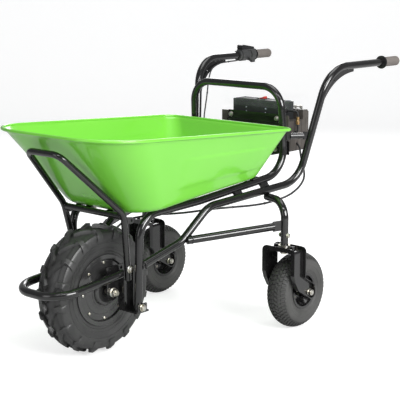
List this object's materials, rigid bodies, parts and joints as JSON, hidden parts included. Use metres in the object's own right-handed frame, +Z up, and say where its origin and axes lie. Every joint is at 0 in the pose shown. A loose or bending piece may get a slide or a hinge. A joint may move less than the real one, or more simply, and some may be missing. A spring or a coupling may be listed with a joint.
{
  "type": "power wheelbarrow",
  "caption": "Battery-powered wheelbarrow with a deep flared tray, a driven front wheel with a hub motor, trailing swivel casters at the rear, bent tube handles and a thumb throttle.",
  "frame": {"origin": "on the floor, midway between the bumper's nose and the ends of the grips, on the barrow's middle plane", "axes": "+X forward towards the drive wheel, +Y to the operator's left, +Z up"},
  "size_m": [1.483, 0.772, 0.887],
  "materials": {
    "frame_black": "gloss",
    "tray_green": "gloss",
    "grip_rubber": "matte",
    "zinc": "satin",
    "bearing_steel": "satin",
    "battery_plastic": "satin",
    "control_plastic": "satin",
    "black_plastic": "gloss",
    "switch_red": "gloss",
    "clear_plastic": "gloss",
    "cell_wrap": "satin",
    "board_green": "satin",
    "copper": "satin",
    "cable_sheath": "satin",
    "drive_rubber": "satin",
    "caster_rubber": "matte",
    "hub_black": "satin",
    "rim_black": "gloss"
  },
  "bodies": {
    "frame": {"main_hoop": "frame_black", "handle_left": "frame_black", "handle_right": "frame_black", "grip_left": "grip_rubber", "grip_right": "grip_rubber", "tray": "tray_green", "front_prop": "frame_black", "front_bumper": "frame_black", "cross_tube": "frame_black", "caster_leg_left": "frame_black", "caster_leg_right": "frame_black", "leg_brace_left": "frame_black", "leg_brace_right": "frame_black", "side_tie_left": "frame_black", "side_tie_right": "frame_black", "fork_bracket_left": "frame_black", "fork_bracket_right": "frame_black", "handle_gusset_left": "frame_black", "handle_gusset_right": "frame_black", "rail_clamps": "frame_black", "tray_saddles": "frame_black", "tray_bolts": "zinc", "frame_bolts": "zinc", "box_crossbar": "frame_black", "box_strap": "frame_black", "box_bolts": "zinc", "battery_box": "battery_plastic", "battery_pack": "cell_wrap", "control_box": "control_plastic", "control_board": "board_green", "switch_bezel": "black_plastic", "cover_hinge": "zinc", "battery_lead": "cable_sheath", "throttle_housing": "control_plastic", "throttle_display": "black_plastic", "motor_cable": "cable_sheath", "throttle_cable": "cable_sheath", "drive_axle": "zinc", "axle_nuts": "zinc", "motor_stator": "copper", "kingpin_left": "zinc", "kingpin_right": "zinc"},
    "drive_wheel": {"drive_tyre": "drive_rubber", "hub_shell": "hub_black", "hub_covers": "hub_black", "hub_bolts": "zinc", "hub_bearings": "bearing_steel"},
    "caster_left": {"caster_fork_left": "frame_black", "caster_axle_left": "zinc"},
    "caster_right": {"caster_fork_right": "frame_black", "caster_axle_right": "zinc"},
    "caster_wheel_left": {"caster_tyre_left": "caster_rubber", "caster_rim_left": "rim_black", "caster_bearings_left": "bearing_steel"},
    "caster_wheel_right": {"caster_tyre_right": "caster_rubber", "caster_rim_right": "rim_black", "caster_bearings_right": "bearing_steel"},
    "throttle_lever": {"throttle_lever": "control_plastic"},
    "rocker_switch": {"rocker_switch": "switch_red"},
    "clear_cover": {"clear_cover": "clear_plastic"}
  },
  "joints": [
    {"name": "drive_wheel_spin", "type": "hinge", "parent": "frame", "child": "drive_wheel", "pos_m": [0.4885, 0, 0.203], "axis": [0, 1, 0], "continuous": true},
    {"name": "caster_swivel_left", "type": "hinge", "parent": "frame", "child": "caster_left", "pos_m": [-0.0675, 0.315, 0.272], "axis": [0, 0, 1], "continuous": true},
    {"name": "caster_spin_left", "type": "hinge", "parent": "caster_left", "child": "caster_wheel_left", "pos_m": [-0.1335, 0.315, 0.127], "axis": [0, 1, 0], "continuous": true},
    {"name": "caster_swivel_right", "type": "hinge", "parent": "frame", "child": "caster_right", "pos_m": [-0.0675, -0.315, 0.272], "axis": [0, 0, 1], "continuous": true},
    {"name": "caster_spin_right", "type": "hinge", "parent": "caster_right", "child": "caster_wheel_right", "pos_m": [-0.1335, -0.315, 0.127], "axis": [0, 1, 0], "continuous": true},
    {"name": "throttle_press", "type": "hinge", "parent": "frame", "child": "throttle_lever", "pos_m": [-0.6035, -0.292, 0.847], "axis": [-1, 0, 0], "range_deg": [0, 45], "stiffness_Nm_per_rad": 0.2, "springref_deg": -14.32},
    {"name": "power_switch", "type": "hinge", "parent": "frame", "child": "rocker_switch", "pos_m": [-0.3445, 0, 0.7175], "axis": [-1, 0, 0], "range_deg": [0, 18]},
    {"name": "cover_hinge", "type": "hinge", "parent": "frame", "child": "clear_cover", "pos_m": [-0.4205, 0, 0.6938], "axis": [0, -1, 0], "range_deg": [0, 110]}
  ]
}
